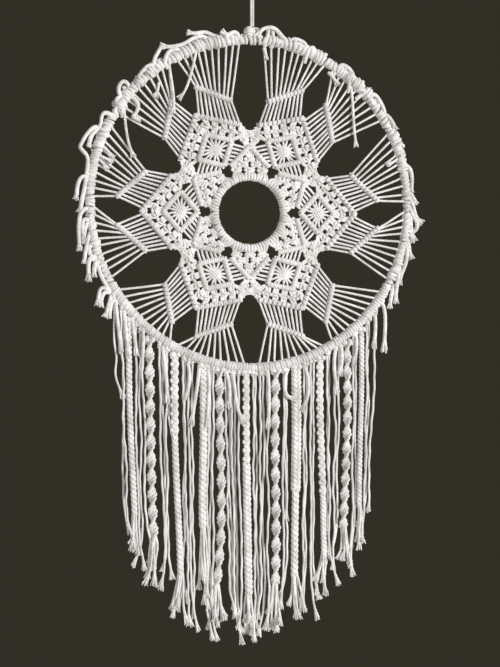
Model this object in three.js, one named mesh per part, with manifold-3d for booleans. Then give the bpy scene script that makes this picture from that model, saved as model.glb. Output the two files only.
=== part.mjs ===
import * as THREE from 'three';
import { mergeVertices } from 'three/addons/utils/BufferGeometryUtils.js';
import Module from 'manifold-3d';

// Macrame dreamcatcher: a knotted cotton net stretched between two wire hoops, with a hanging fringe.
// Millimetres, +Z up, the front faces -Y. The origin is the nail, at the inner top of the hanger loop.
// Clock angles are in degrees from the top, clockwise as seen from the front.

// Wire hoops and cord
const HOOP_OUTER_DIAMETER = 300;
const RING_OUTER_DIAMETER = 70;
const WIRE_DIAMETER = 3;
const CORD_DIAMETER = 3;
const HANGER_CORD_DIAMETER = 2.2;
const HOOP_DROP = 54;
const RING_SHIFT_X = -2.4;
const RING_SHIFT_Z = -8;
const BORE_RADIUS = 2.25;
const CLEARANCE = 0.4;

// Hanger: the knot on the hoop and the loop over the nail
const KNOT_RADIUS = 7.5;
const KNOT_DEPTH = 11;
const KNOT_RISE = 4;
const KNOT_BORE_RADIUS = 2.5;
const NAIL_BEND_RADIUS = 2.9;
const HANGER_LEG_SPREAD = 1.6;
const HANGER_STRAIGHT = 0.75;

// One sixth of the net, measured outwards from the ring's centre
const PETALS = 6;
const NET_SIDES = 4;
const LEAF_APEX = 58;
const LEAF_SHOULDER = { out: 43.3, side: 19.4 };
const LEAF_BASE_RADIUS = 36.6;
const LEAF_BASE_ANGLE = 24;
const LEAF_WRAP_ANGLE = 28;
const LEAF_FAN_CORDS = 5;
const LEAF_FAN_SPAN = [0.1, 0.82];
const KNOTTED_THICKNESS = 5;
const HITCH_BAR_WIDTH = 4;
const FRAME_BAR_WIDTH = 3.6;
const CHEVRON_APEX = 101.4;
const CHEVRON_EDGE_ANGLE = 29.7;
const FLOWER_OUT = 64.5;
const FRAME_HALF_DIAGONAL = 16.5;
const FLOWER_RADIUS = 5;
const FLOWER_SPOKES = 6;

// Fans of taut cords between a petal and the hoop
const FAN_CORDS = 10;
const FAN_FIRST_SIDE = 3.4;
const FAN_LAST_SIDE = 32;
const MID_BAR_NEAR = { out: 122.6, side: 10.6 };
const MID_BAR_FAR = { out: 94.5, side: 36.5 };
const MID_BAR_SPAN = [0.04, 0.96];
const BAR_OVERHANG = 1.2;
const HOOP_FIRST_ANGLE = 2;
const HOOP_LAST_ANGLE = 28;
const HITCH_GAP_ANGLE = 0.12;
const HITCH_HALF_ANGLE = 1;
const HANGER_GAP_ANGLE = 3.3;
const HITCH_DEPTH = 3.6;
const TAILS_PER_FAN = 2;
const TAIL_SPAN = [6, 24];
const TAIL_ANGLE = 6;
const TAIL_RISE = 5;
const LOWEST_TAILED_PETAL = 120;

// Fringe, from left to right: place, width and depth of each knotted sinnet
const SINNETS = [
  { x: -113, width: 6, depth: 5 },
  { x: -95, width: 9.5, depth: 8 },
  { x: -71.5, width: 8.5, depth: 5 },
  { x: -46, width: 7.5, depth: 5 },
  { x: -30.5, width: 9, depth: 8 },
  { x: -5.5, width: 7.5, depth: 6 },
  { x: 21.5, width: 9, depth: 8 },
  { x: 41.5, width: 8.5, depth: 5 },
  { x: 63.5, width: 7.5, depth: 5 },
  { x: 89, width: 9, depth: 8 },
  { x: 104, width: 6, depth: 5 },
];
const FRINGE_LEFT_EDGE = -131;
const FRINGE_RIGHT_EDGE = 120;
const FRINGE_LOWEST_X = -14;
const FRINGE_LOWEST_Z = -596;
const FRINGE_END_RISE = 96;
const STRAND_PITCH = 3.3;
const STRAND_LAYER = 1.8;
const STRAND_INSET = 2.3;
const STRAND_UNEVENNESS = 5;
const STRAND_RISE = 6;
const SHORT_STRAND_EVERY = 4;
const SHORT_STRAND_LENGTH = 62;
const TASSEL_LENGTH = 34;
const SINNET_SHAPE = { gather: 0.4, body: 0.5, binding: 0.34, tassel: 0.58 };

// Values worked out from the driving dimensions
const WIRE_RADIUS = WIRE_DIAMETER / 2;
const CORD_RADIUS = CORD_DIAMETER / 2;
const WRAP_RADIUS = WIRE_RADIUS + CORD_DIAMETER;
const HOOP_RADIUS = HOOP_OUTER_DIAMETER / 2 - WIRE_RADIUS;
const RING_RADIUS = RING_OUTER_DIAMETER / 2 - WIRE_RADIUS;
const HOOP_CENTRE = new THREE.Vector3(0, 0, -HOOP_DROP - HOOP_RADIUS);
const RING_CENTRE = HOOP_CENTRE.clone().add(new THREE.Vector3(RING_SHIFT_X, 0, RING_SHIFT_Z));
const COLLAR_RADIUS = HOOP_RADIUS + WRAP_RADIUS + CLEARANCE + CORD_RADIUS;
const SECTOR = 360 / PETALS;
const HALF_SECTOR = SECTOR / 2;

const rad = THREE.MathUtils.degToRad;
const lerp = THREE.MathUtils.lerp;
const wasm = await Module();
wasm.setup();

// Colours and finishes
const cotton = () => new THREE.MeshStandardMaterial({ color: '#e8e5df', roughness: 0.95, metalness: 0 });
const hangerCotton = () => new THREE.MeshStandardMaterial({ color: '#d9d2c3', roughness: 0.9, metalness: 0 });
const steel = () => new THREE.MeshStandardMaterial({ color: '#b8b6b1', roughness: 0.35, metalness: 1 });

// An arc of a hoop between two clock angles
class HoopArc extends THREE.Curve {
  constructor(centre, radius, from, to) {
    super();
    Object.assign(this, { centre, radius, from, to });
  }

  getPoint(t, target = new THREE.Vector3()) {
    return target.copy(onHoop(this.centre, this.radius, lerp(this.from, this.to, t)));
  }
}

function onHoop(centre, radius, angle) {
  const outward = new THREE.Vector3(Math.sin(rad(angle)), 0, Math.cos(rad(angle)));
  return outward.multiplyScalar(radius).add(centre);
}

// Corners of a round or oval section
function ovalCorners(halfWidth, halfHeight, sides) {
  const corners = [];
  for (let i = 0; i < sides; i += 1) {
    const turn = (2 * Math.PI * (i + 0.5)) / sides;
    corners.push(new THREE.Vector2(halfWidth * Math.cos(turn), halfHeight * Math.sin(turn)));
  }
  return corners;
}

// A section carried along a path, with a bore where one is given
function sweep(path, steps, section, bore) {
  const shape = new THREE.Shape(section);
  if (bore) {
    shape.holes.push(new THREE.Path(bore));
  }
  return new THREE.ExtrudeGeometry(shape, { steps, extrudePath: path, bevelEnabled: false });
}

// A straight length of cord, and a bar of close hitches with flat sides
function cord(from, to, diameter, sides) {
  return sweep(new THREE.LineCurve3(from, to), 1, ovalCorners(diameter / 2, diameter / 2, sides));
}

function hitchBar(from, to, width) {
  return cord(from, to, width * Math.SQRT2, 4);
}

// The row of hitches round a stretch of wire, as one sleeve
function hitchSleeve(centre, radius, from, to, steps) {
  const outer = ovalCorners(WRAP_RADIUS, WRAP_RADIUS, 8);
  const bore = ovalCorners(BORE_RADIUS, BORE_RADIUS, 6);
  return sweep(new HoopArc(centre, radius, from, to), steps, outer, bore);
}

// A flat knotted panel drawn sideways and outwards, standing upright
function panel(shape, curveSegments) {
  const geometry = new THREE.ExtrudeGeometry(shape, {
    depth: KNOTTED_THICKNESS,
    steps: 1,
    curveSegments,
    bevelEnabled: false,
  });
  geometry.translate(0, 0, -KNOTTED_THICKNESS / 2);
  geometry.rotateX(Math.PI / 2);
  return geometry;
}

// Closed geometry to solid, and back
function solid(geometry) {
  const bare = geometry.clone();
  bare.deleteAttribute('normal');
  bare.deleteAttribute('uv');
  const welded = mergeVertices(bare);
  const vertProperties = welded.attributes.position.array;
  const triVerts = new Uint32Array(welded.index.array);
  return new wasm.Manifold(new wasm.Mesh({ numProp: 3, vertProperties, triVerts }));
}

function shell(body) {
  const { vertProperties, triVerts } = body.getMesh();
  const geometry = new THREE.BufferGeometry();
  geometry.setAttribute('position', new THREE.BufferAttribute(vertProperties, 3));
  geometry.setIndex(new THREE.BufferAttribute(triVerts, 1));
  geometry.computeVertexNormals();
  return geometry;
}

function fuse(geometries) {
  return geometries.map(solid).reduce((whole, piece) => whole.add(piece));
}

function piece(name, geometry, material) {
  const mesh = new THREE.Mesh(geometry, material);
  mesh.name = name;
  return mesh;
}

// Wire hoop and ring
function wireHoop(name, radius, centre, segments) {
  const mesh = piece(name, new THREE.TorusGeometry(radius, WIRE_RADIUS, 6, segments), steel());
  mesh.position.copy(centre);
  mesh.rotation.x = Math.PI / 2;
  return mesh;
}

// Round knot that grips the hoop at its top
const KNOT_CENTRE = new THREE.Vector3(0, 0, -HOOP_DROP + KNOT_RISE);

function hangerKnot() {
  const ball = new THREE.SphereGeometry(KNOT_RADIUS, 12, 8);
  ball.scale(1, KNOT_DEPTH / (2 * KNOT_RADIUS), 1);
  const wireBore = new THREE.CylinderGeometry(KNOT_BORE_RADIUS, KNOT_BORE_RADIUS, 4 * KNOT_RADIUS, 8);
  wireBore.rotateZ(Math.PI / 2);
  wireBore.translate(0, 0, -KNOT_RISE);
  const mesh = piece('hanger_knot', shell(solid(ball).subtract(solid(wireBore))), hangerCotton());
  mesh.position.copy(KNOT_CENTRE);
  return mesh;
}

// Loop of thin cord that hangs on the nail
function hangerLoop() {
  const legEnd = KNOT_CENTRE.z + KNOT_RADIUS + CLEARANCE;
  const bendCentre = HANGER_CORD_DIAMETER / 2 - NAIL_BEND_RADIUS;
  const shoulder = lerp(legEnd, bendCentre, HANGER_STRAIGHT);
  const left = [
    new THREE.Vector3(-HANGER_LEG_SPREAD, 0, legEnd),
    new THREE.Vector3(-HANGER_LEG_SPREAD, 0, shoulder),
  ];
  const bend = [];
  for (const angle of [-90, -45, 0, 45, 90]) {
    bend.push(onHoop(new THREE.Vector3(0, 0, bendCentre), NAIL_BEND_RADIUS, angle));
  }
  const right = left.map((point) => new THREE.Vector3(-point.x, 0, point.z)).reverse();
  const route = new THREE.CatmullRomCurve3([...left, ...bend, ...right]);
  const section = ovalCorners(HANGER_CORD_DIAMETER / 2, HANGER_CORD_DIAMETER / 2, 8);
  return piece('hanger_loop', sweep(route, 18, section), hangerCotton());
}

// Places in one sector of the net: out from the ring's centre, and sideways clockwise
const place = (out, side) => new THREE.Vector3(side, 0, out);

function sector(angle) {
  const group = new THREE.Group();
  group.position.copy(RING_CENTRE);
  group.rotation.y = rad(angle);
  return group;
}

// Corners of the square frame round a flower, and one of them seen from the next leaf
const frameCorners = [
  place(FLOWER_OUT + FRAME_HALF_DIAGONAL, 0),
  place(FLOWER_OUT, FRAME_HALF_DIAGONAL),
  place(FLOWER_OUT - FRAME_HALF_DIAGONAL, 0),
  place(FLOWER_OUT, -FRAME_HALF_DIAGONAL),
];
const upright = new THREE.Vector3(0, 1, 0);
const seenFromLeaf = (point) => point.clone().applyAxisAngle(upright, rad(HALF_SECTOR));

// Leaf: hitches on the ring, a knotted panel, its two side bars and two small fans
function leafGeometry() {
  const centre = new THREE.Vector3();
  const base = onHoop(centre, LEAF_BASE_RADIUS, LEAF_BASE_ANGLE);
  const outline = new THREE.Shape();
  outline.moveTo(base.x, base.z);
  outline.lineTo(LEAF_SHOULDER.side, LEAF_SHOULDER.out);
  outline.lineTo(0, LEAF_APEX);
  outline.lineTo(-LEAF_SHOULDER.side, LEAF_SHOULDER.out);
  outline.lineTo(-base.x, base.z);
  outline.absarc(0, 0, LEAF_BASE_RADIUS, rad(90 + LEAF_BASE_ANGLE), rad(90 - LEAF_BASE_ANGLE), true);
  const parts = [
    hitchSleeve(centre, RING_RADIUS, -LEAF_WRAP_ANGLE, LEAF_WRAP_ANGLE, 6),
    panel(outline, 4),
  ];
  const apex = place(LEAF_APEX, 0);
  const frameSide = seenFromLeaf(frameCorners[3]);
  const frameInner = seenFromLeaf(frameCorners[2]);
  for (const hand of [-1, 1]) {
    const mirror = new THREE.Vector3(hand, 1, 1);
    const shoulder = place(LEAF_SHOULDER.out, LEAF_SHOULDER.side);
    parts.push(hitchBar(apex, shoulder.clone().multiply(mirror), HITCH_BAR_WIDTH));
    for (let i = 0; i < LEAF_FAN_CORDS; i += 1) {
      const along = lerp(...LEAF_FAN_SPAN, i / (LEAF_FAN_CORDS - 1));
      const from = apex.clone().lerp(shoulder, along);
      const to = frameSide.clone().lerp(frameInner, along);
      const length = from.distanceTo(to) - FRAME_BAR_WIDTH / 2 - 2 * CLEARANCE;
      to.sub(from).setLength(length).add(from);
      parts.push(cord(from.multiply(mirror), to.multiply(mirror), CORD_DIAMETER, NET_SIDES));
    }
  }
  return shell(fuse(parts));
}

// Diamond: a chevron of knots, a square frame of bars and the flower knot tied across it
function diamondGeometry() {
  const diagonal = Math.SQRT2;
  const outerLine = CHEVRON_APEX - (HITCH_BAR_WIDTH + CLEARANCE) * diagonal;
  const innerLine = FLOWER_OUT + FRAME_HALF_DIAGONAL + FRAME_BAR_WIDTH / 4;
  const edge = Math.tan(rad(CHEVRON_EDGE_ANGLE));
  const outerEnd = outerLine / (1 + edge);
  const innerEnd = innerLine / (1 + edge);
  const outline = new THREE.Shape();
  outline.moveTo(0, outerLine);
  outline.lineTo(-outerEnd * edge, outerEnd);
  outline.lineTo(-innerEnd * edge, innerEnd);
  outline.lineTo(0, innerLine);
  outline.lineTo(innerEnd * edge, innerEnd);
  outline.lineTo(outerEnd * edge, outerEnd);
  const flower = new THREE.SphereGeometry(FLOWER_RADIUS, 8, 6);
  flower.translate(0, 0, FLOWER_OUT);
  const parts = [panel(outline, 1), flower];
  frameCorners.forEach((corner, i) => {
    parts.push(hitchBar(corner, frameCorners[(i + 1) % 4], FRAME_BAR_WIDTH));
  });
  for (let i = 0; i < FLOWER_SPOKES; i += 1) {
    const turn = (2 * Math.PI * i) / FLOWER_SPOKES;
    const reach = FRAME_HALF_DIAGONAL / (Math.abs(Math.cos(turn)) + Math.abs(Math.sin(turn)));
    const end = place(FLOWER_OUT + reach * Math.cos(turn), reach * Math.sin(turn));
    parts.push(cord(place(FLOWER_OUT, 0), end, CORD_DIAMETER, NET_SIDES));
  }
  return shell(fuse(parts));
}

// Fan: hitch bar on the petal, taut cords, hitch bar halfway, taut cords and the hitches on the hoop
function fanGeometry(petal, hand) {
  const group = sector(petal);
  group.updateMatrix();
  const inNet = (out, side) => place(out, hand * side).applyMatrix4(group.matrix);
  const barLine = CHEVRON_APEX - (HITCH_BAR_WIDTH / 2) * Math.SQRT2;
  const near = inNet(MID_BAR_NEAR.out, MID_BAR_NEAR.side);
  const far = inNet(MID_BAR_FAR.out, MID_BAR_FAR.side);
  const besideKnot = Math.abs(petal + hand * HALF_SECTOR) < 1;
  const room = besideKnot ? HANGER_GAP_ANGLE : HITCH_GAP_ANGLE;
  const hoopEnd = petal + hand * (HALF_SECTOR - room);
  const hoopStart = petal + hand * HITCH_GAP_ANGLE;
  const lastAngle = Math.min(HOOP_LAST_ANGLE, HALF_SECTOR - room - HITCH_HALF_ANGLE);
  const onChevron = (side) => inNet(barLine - side, side);
  const barStart = onChevron(FAN_FIRST_SIDE - BAR_OVERHANG);
  const barEnd = onChevron(FAN_LAST_SIDE + BAR_OVERHANG);
  const parts = [
    hitchSleeve(HOOP_CENTRE, HOOP_RADIUS, hoopStart, hoopEnd, 5),
    hitchBar(barStart, barEnd, HITCH_BAR_WIDTH),
    hitchBar(near, far, HITCH_BAR_WIDTH),
  ];
  for (let i = 0; i < FAN_CORDS; i += 1) {
    const along = i / (FAN_CORDS - 1);
    const onBar = onChevron(lerp(FAN_FIRST_SIDE, FAN_LAST_SIDE, along));
    const onMid = near.clone().lerp(far, lerp(...MID_BAR_SPAN, along));
    const angle = petal + hand * lerp(HOOP_FIRST_ANGLE, lastAngle, along);
    const onWrap = onHoop(HOOP_CENTRE, HOOP_RADIUS - HITCH_DEPTH, angle);
    parts.push(cord(onBar, onMid, CORD_DIAMETER, NET_SIDES));
    parts.push(cord(onMid, onWrap, CORD_DIAMETER, NET_SIDES));
  }
  return shell(fuse([...parts, ...tails(petal, hand)]));
}

// Cut ends of the hitched cords that stand off the hoop's outer edge above the fringe
function tails(petal, hand) {
  if (Math.abs(petal) > LOWEST_TAILED_PETAL) {
    return [];
  }
  const downhill = Math.sign(petal);
  const ends = [];
  for (let i = 0; i < TAILS_PER_FAN; i += 1) {
    const angle = petal + hand * lerp(...TAIL_SPAN, i / (TAILS_PER_FAN - 1)) - (downhill * TAIL_ANGLE) / 2;
    const root = onHoop(HOOP_CENTRE, HOOP_RADIUS + WRAP_RADIUS - CLEARANCE, angle);
    const tip = onHoop(HOOP_CENTRE, HOOP_RADIUS + WRAP_RADIUS + TAIL_RISE, angle + downhill * TAIL_ANGLE);
    ends.push(cord(root, tip, CORD_DIAMETER, NET_SIDES));
  }
  return ends;
}

// Height of a circle round the hoop's centre, below it, and of the fringe's lower edge
const underHoop = (radius, x) => HOOP_CENTRE.z - Math.sqrt(radius * radius - x * x);

function fringeEdge(x) {
  const end = x < FRINGE_LOWEST_X ? FRINGE_LEFT_EDGE : FRINGE_RIGHT_EDGE;
  const off = (x - FRINGE_LOWEST_X) / (end - FRINGE_LOWEST_X);
  return FRINGE_LOWEST_Z + FRINGE_END_RISE * off * off;
}

// Knotted sinnet: gathered at the hoop, even below, bound near its end and spread in a tassel
function sinnet(name, { x, width, depth }) {
  const innerEdge = Math.abs(x) - width / 2;
  const top = underHoop(HOOP_RADIUS + WRAP_RADIUS + CLEARANCE, innerEdge);
  const bottom = fringeEdge(x);
  const profile = [
    new THREE.Vector2(0, bottom),
    new THREE.Vector2(SINNET_SHAPE.tassel * width, bottom),
    new THREE.Vector2(SINNET_SHAPE.binding * width, bottom + TASSEL_LENGTH),
    new THREE.Vector2(SINNET_SHAPE.body * width, bottom + TASSEL_LENGTH + width),
    new THREE.Vector2(SINNET_SHAPE.body * width, top - width),
    new THREE.Vector2(SINNET_SHAPE.gather * width, top),
    new THREE.Vector2(0, top),
  ];
  const geometry = new THREE.LatheGeometry(profile, 8);
  geometry.rotateX(Math.PI / 2);
  geometry.scale(1, depth / width, 1);
  geometry.translate(x, 0, 0);
  return piece(name, geometry, cotton());
}

// Plain strands that hang from one collar of hitches, in two layers, some of them cut short
function strands(name, left, right) {
  const first = left + STRAND_INSET;
  const last = right - STRAND_INSET;
  const count = Math.max(2, Math.round((last - first) / STRAND_PITCH) + 1);
  const clockAngle = (x) => 180 - THREE.MathUtils.radToDeg(Math.asin(x / COLLAR_RADIUS));
  const collarPath = new HoopArc(HOOP_CENTRE, COLLAR_RADIUS, clockAngle(first), clockAngle(last));
  const collarSection = ovalCorners(STRAND_LAYER + CORD_RADIUS, CORD_RADIUS, 8);
  const parts = [sweep(collarPath, 2, collarSection)];
  for (let i = 0; i < count; i += 1) {
    const x = lerp(first, last, i / (count - 1));
    const y = i % 2 ? STRAND_LAYER : -STRAND_LAYER;
    const top = underHoop(COLLAR_RADIUS, x);
    const uneven = STRAND_UNEVENNESS * Math.sin(x);
    const cutShort = i % SHORT_STRAND_EVERY === SHORT_STRAND_EVERY - 1;
    const bottom = uneven + (cutShort ? top - SHORT_STRAND_LENGTH : fringeEdge(x) + STRAND_RISE);
    parts.push(cord(new THREE.Vector3(x, y, top), new THREE.Vector3(x, y, bottom), CORD_DIAMETER, 8));
  }
  return piece(name, shell(fuse(parts)), cotton());
}

// Assembly
const dreamcatcher = new THREE.Group();
dreamcatcher.name = 'macrame_dreamcatcher';
dreamcatcher.add(wireHoop('outer_hoop', HOOP_RADIUS, HOOP_CENTRE, 60));
dreamcatcher.add(wireHoop('inner_ring', RING_RADIUS, RING_CENTRE, 30));
dreamcatcher.add(hangerLoop());
dreamcatcher.add(hangerKnot());

const leaf = leafGeometry();
const diamond = diamondGeometry();
for (let i = 0; i < PETALS; i += 1) {
  const leafSector = sector(i * SECTOR);
  leafSector.add(piece(`leaf_${i + 1}`, leaf, cotton()));
  const petal = (i - 2) * SECTOR - HALF_SECTOR;
  const petalSector = sector(petal);
  petalSector.add(piece(`diamond_${i + 1}`, diamond, cotton()));
  dreamcatcher.add(leafSector, petalSector);
  dreamcatcher.add(piece(`fan_${i + 1}_left`, fanGeometry(petal, -1), cotton()));
  dreamcatcher.add(piece(`fan_${i + 1}_right`, fanGeometry(petal, 1), cotton()));
}

const edges = SINNETS.map(({ x, width }) => [x - width / 2, x + width / 2]);
dreamcatcher.add(strands('strands_0', FRINGE_LEFT_EDGE, edges[0][0]));
SINNETS.forEach((size, i) => {
  const next = i + 1 < SINNETS.length ? edges[i + 1][0] : FRINGE_RIGHT_EDGE;
  dreamcatcher.add(sinnet(`sinnet_${i + 1}`, size));
  dreamcatcher.add(strands(`strands_${i + 1}`, edges[i][1], next));
});

export default dreamcatcher;
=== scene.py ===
import random
from functools import partial
from math import cos, pi, radians, sin, sqrt
import bpy
import numpy as np
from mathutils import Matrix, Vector


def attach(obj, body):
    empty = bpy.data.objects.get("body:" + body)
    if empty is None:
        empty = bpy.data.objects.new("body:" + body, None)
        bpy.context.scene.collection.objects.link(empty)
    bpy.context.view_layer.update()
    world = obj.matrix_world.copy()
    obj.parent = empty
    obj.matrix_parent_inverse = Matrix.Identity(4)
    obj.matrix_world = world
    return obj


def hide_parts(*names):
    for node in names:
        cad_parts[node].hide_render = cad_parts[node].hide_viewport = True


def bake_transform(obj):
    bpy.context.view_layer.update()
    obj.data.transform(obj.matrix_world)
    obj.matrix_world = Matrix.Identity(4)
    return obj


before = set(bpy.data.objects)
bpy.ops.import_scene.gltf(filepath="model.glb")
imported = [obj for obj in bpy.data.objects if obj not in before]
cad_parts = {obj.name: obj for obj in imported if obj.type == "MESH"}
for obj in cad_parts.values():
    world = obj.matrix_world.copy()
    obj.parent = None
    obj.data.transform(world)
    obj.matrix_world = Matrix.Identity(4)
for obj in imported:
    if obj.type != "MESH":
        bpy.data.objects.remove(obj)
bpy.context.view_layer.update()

mm = 0.001
rng = random.Random(11)  # the same small unevenness at every run
towardsView = Vector((0, -1, 0))
downwards = Vector((0, 0, -1))

# the two wires that carry the work, in mm
hoop = {"x": 0.0, "z": -202.5, "radius": 148.5}
ring = {"x": -2.4, "z": -210.5, "radius": 33.5}
petalAngles = (-150, -90, -30, 30, 90, 150)


def mix(a, b, t):
    return a + (b - a) * t


def evenly(first, last, count):
    return [mix(first, last, k / (count - 1)) for k in range(count)]


def pathLength(points):
    return sum((a - b).length for a, b in zip(points, points[1:]))


def around(centre, angle, out, side=0.0, depth=0.0):
    # a place by its clock angle from the top, how far out and how far to the side
    turn = radians(angle)
    x = centre["x"] + out * sin(turn) + side * cos(turn)
    z = centre["z"] + out * cos(turn) - side * sin(turn)
    return Vector((x, depth, z))


def jitter(size):
    return Vector((rng.uniform(-size, size), rng.uniform(-size, size), rng.uniform(-size, size)))


# camera and light

view = {
    "aim": (-1.9, 0.0, -320.0),  # mm, the middle of the picture
    "tall": 603.6,  # mm of the object's plane that the picture is high
    "distance": 1800.0,
    "azimuth": -15.0,  # the left side is nearer
    "sensor": 36.0,
}


def aimed(thing, target):
    thing.rotation_euler = (Vector(target) - thing.location).to_track_quat("-Z", "Y").to_euler()


def placed(name, data):
    thing = bpy.data.objects.new(name, data)
    bpy.context.scene.collection.objects.link(thing)
    return thing


def makeCamera():
    data = bpy.data.cameras.new("camera")
    data.sensor_width = view["sensor"]
    data.lens = view["sensor"] * view["distance"] / view["tall"]
    camera = placed("camera", data)
    turn = radians(view["azimuth"])
    aim = Vector(view["aim"]) * mm
    camera.location = aim + Vector((sin(turn), -cos(turn), 0)) * view["distance"] * mm
    aimed(camera, aim)
    bpy.context.scene.camera = camera


# area lamps: places and sizes in m, power in W
lamps = (
    {"name": "keyLamp", "place": (2.30, -2.80, 0.45), "size": 0.6, "power": 160.0},
    {"name": "fillLamp", "place": (-1.20, -1.40, -0.40), "size": 0.8, "power": 10.0},
    {"name": "backLamp", "place": (0.40, 1.40, 0.30), "size": 1.0, "power": 26.0},
)
lampAim = (0, 0, -0.28)  # m, the middle of the object


def makeLamps():
    for lamp in lamps:
        data = bpy.data.lights.new(lamp["name"], "AREA")
        data.shape = "DISK"
        data.size = lamp["size"]
        data.energy = lamp["power"]
        thing = placed(lamp["name"], data)
        thing.location = lamp["place"]
        aimed(thing, lampAim)


# finishes

def linear(code):
    # an sRGB hex code as linear colour
    parts = [int(code[k:k + 2], 16) / 255 for k in (1, 3, 5)]
    return tuple(c / 12.92 if c <= 0.04045 else ((c + 0.055) / 1.055) ** 2.4 for c in parts) + (1.0,)


def addNode(tree, kind, settings={}, links={}):
    made = tree.nodes.new("ShaderNode" + kind)
    for key, value in settings.items():
        if hasattr(made, key):
            setattr(made, key, value)
        else:
            made.inputs[key].default_value = value
    for key, source in links.items():
        tree.links.new(source, made.inputs[key])
    return made


def newMaterial(name, settings):
    material = bpy.data.materials.new(name)
    material.use_nodes = True
    shader = material.node_tree.nodes["Principled BSDF"]
    for key, value in settings.items():
        shader.inputs[key].default_value = value
    return material, material.node_tree, shader


def cottonCord(name, light, paintedShadeAndWear):
    # single-strand cotton, loosely twisted: matt, faintly fuzzy at its edges, with fibres that run along it,
    # and painted shade in the grooves between them
    matt = {"Roughness": 0.92, "Specular IOR Level": 0.2, "Sheen Weight": 0.1, "Sheen Roughness": 0.6}
    material, tree, shader = newMaterial(name, matt)
    fibreTurns = 5.0  # bundles of fibres that are seen round a cord
    fibreLength = 9.0  # mm
    fibreSlant = 0.5  # radians, from the twist
    fibreDepth = 0.8  # mm
    patch = 14.0  # mm, where the cord is greyer from handling
    place = addNode(tree, "TexCoord")
    along = addNode(
        tree,
        "Mapping",
        {"Scale": (fibreTurns, 1 / fibreLength, 1), "Rotation": (0, 0, fibreSlant)},
        {"Vector": place.outputs["UV"]},
    )
    fibres = addNode(tree, "TexNoise", {"Scale": 1.0, "Detail": 4.0}, {"Vector": along.outputs["Vector"]})
    patches = addNode(tree, "TexNoise", {"Scale": 1 / (patch * mm)}, {"Vector": place.outputs["Object"]})
    both = {0: fibres.outputs["Fac"], 1: patches.outputs["Fac"]}
    # the colour darkens where the fibres lie low, which is painted shade in their grooves, and where the
    # cord is greyer from handling
    tone = addNode(tree, "Math", {"operation": "MULTIPLY"}, both)
    colours = addNode(tree, "ValToRGB", {}, {"Fac": tone.outputs["Value"]})
    for stop, (position, code) in zip(colours.color_ramp.elements, ((0.12, paintedShadeAndWear), (0.36, light))):
        stop.position = position
        stop.color = linear(code)
    relief = addNode(
        tree, "Bump", {"Strength": 0.7, "Distance": fibreDepth * mm}, {"Height": fibres.outputs["Fac"]}
    )
    tree.links.new(colours.outputs["Color"], shader.inputs["Base Color"])
    tree.links.new(relief.outputs["Normal"], shader.inputs["Normal"])
    return material


def drawnSteel(name):
    # drawn steel wire: a soft grey shine, duller in places
    material, tree, shader = newMaterial(name, {"Base Color": linear("#a9aaa8"), "Metallic": 1.0})
    patch = 2.0  # mm
    place = addNode(tree, "TexCoord")
    patches = addNode(tree, "TexNoise", {"Scale": 1 / (patch * mm)}, {"Vector": place.outputs["Object"]})
    rough = addNode(tree, "MapRange", {"To Min": 0.25, "To Max": 0.45}, {"Value": patches.outputs["Fac"]})
    tree.links.new(rough.outputs["Result"], shader.inputs["Roughness"])
    return material


def makeStage():
    # a pale floor well below the tips, and a plain warm grey behind everything, dark enough for white cord
    material, tree, shader = newMaterial("paintedBoard", {"Roughness": 1.0, "Specular IOR Level": 0.0})
    grainSize = 1 / 60  # m
    place = addNode(tree, "TexCoord")
    grain = addNode(tree, "TexNoise", {"Scale": 1 / grainSize}, {"Vector": place.outputs["Object"]})
    tone = addNode(tree, "ValToRGB", {}, {"Fac": grain.outputs["Fac"]})
    tone.color_ramp.elements[0].color = linear("#c9c6be")
    tone.color_ramp.elements[1].color = linear("#d2cfc8")
    tree.links.new(tone.outputs["Color"], shader.inputs["Base Color"])
    bpy.ops.mesh.primitive_circle_add(vertices=96, radius=0.9, fill_type="NGON", location=(0, 0, -0.9))
    floor = bpy.context.object
    floor.name = "floor"
    floor.data.materials.append(material)

    world = bpy.data.worlds.new("studio")
    world.use_nodes = True
    bpy.context.scene.world = world
    tree = world.node_tree
    lit = tree.nodes["Background"]
    lit.inputs["Color"].default_value = linear("#f4f3f1")
    lit.inputs["Strength"].default_value = 0.12
    wall = addNode(tree, "Background", {"Color": linear("#312f26"), "Strength": 1.0})
    # the camera sees the dark wall, straight or by reflection, and the object is lit by the pale one
    path = addNode(tree, "LightPath")
    seen = path.outputs["Is Camera Ray"]
    for ray in ("Is Glossy Ray", "Is Transmission Ray"):
        either = addNode(tree, "Math", {"operation": "MAXIMUM"}, {0: seen, 1: path.outputs[ray]})
        seen = either.outputs["Value"]
    sources = {0: seen, 1: lit.outputs["Background"], 2: wall.outputs["Background"]}
    both = addNode(tree, "MixShader", {}, sources)
    tree.links.new(both.outputs["Shader"], tree.nodes["World Output"].inputs["Surface"])


# cords: each is a list of points in mm and a radius, or one radius for each point

cordSides = 2  # steps of its bevel, which make a cord's section an octagon
sectionCorners = 4 + 2 * cordSides


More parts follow.
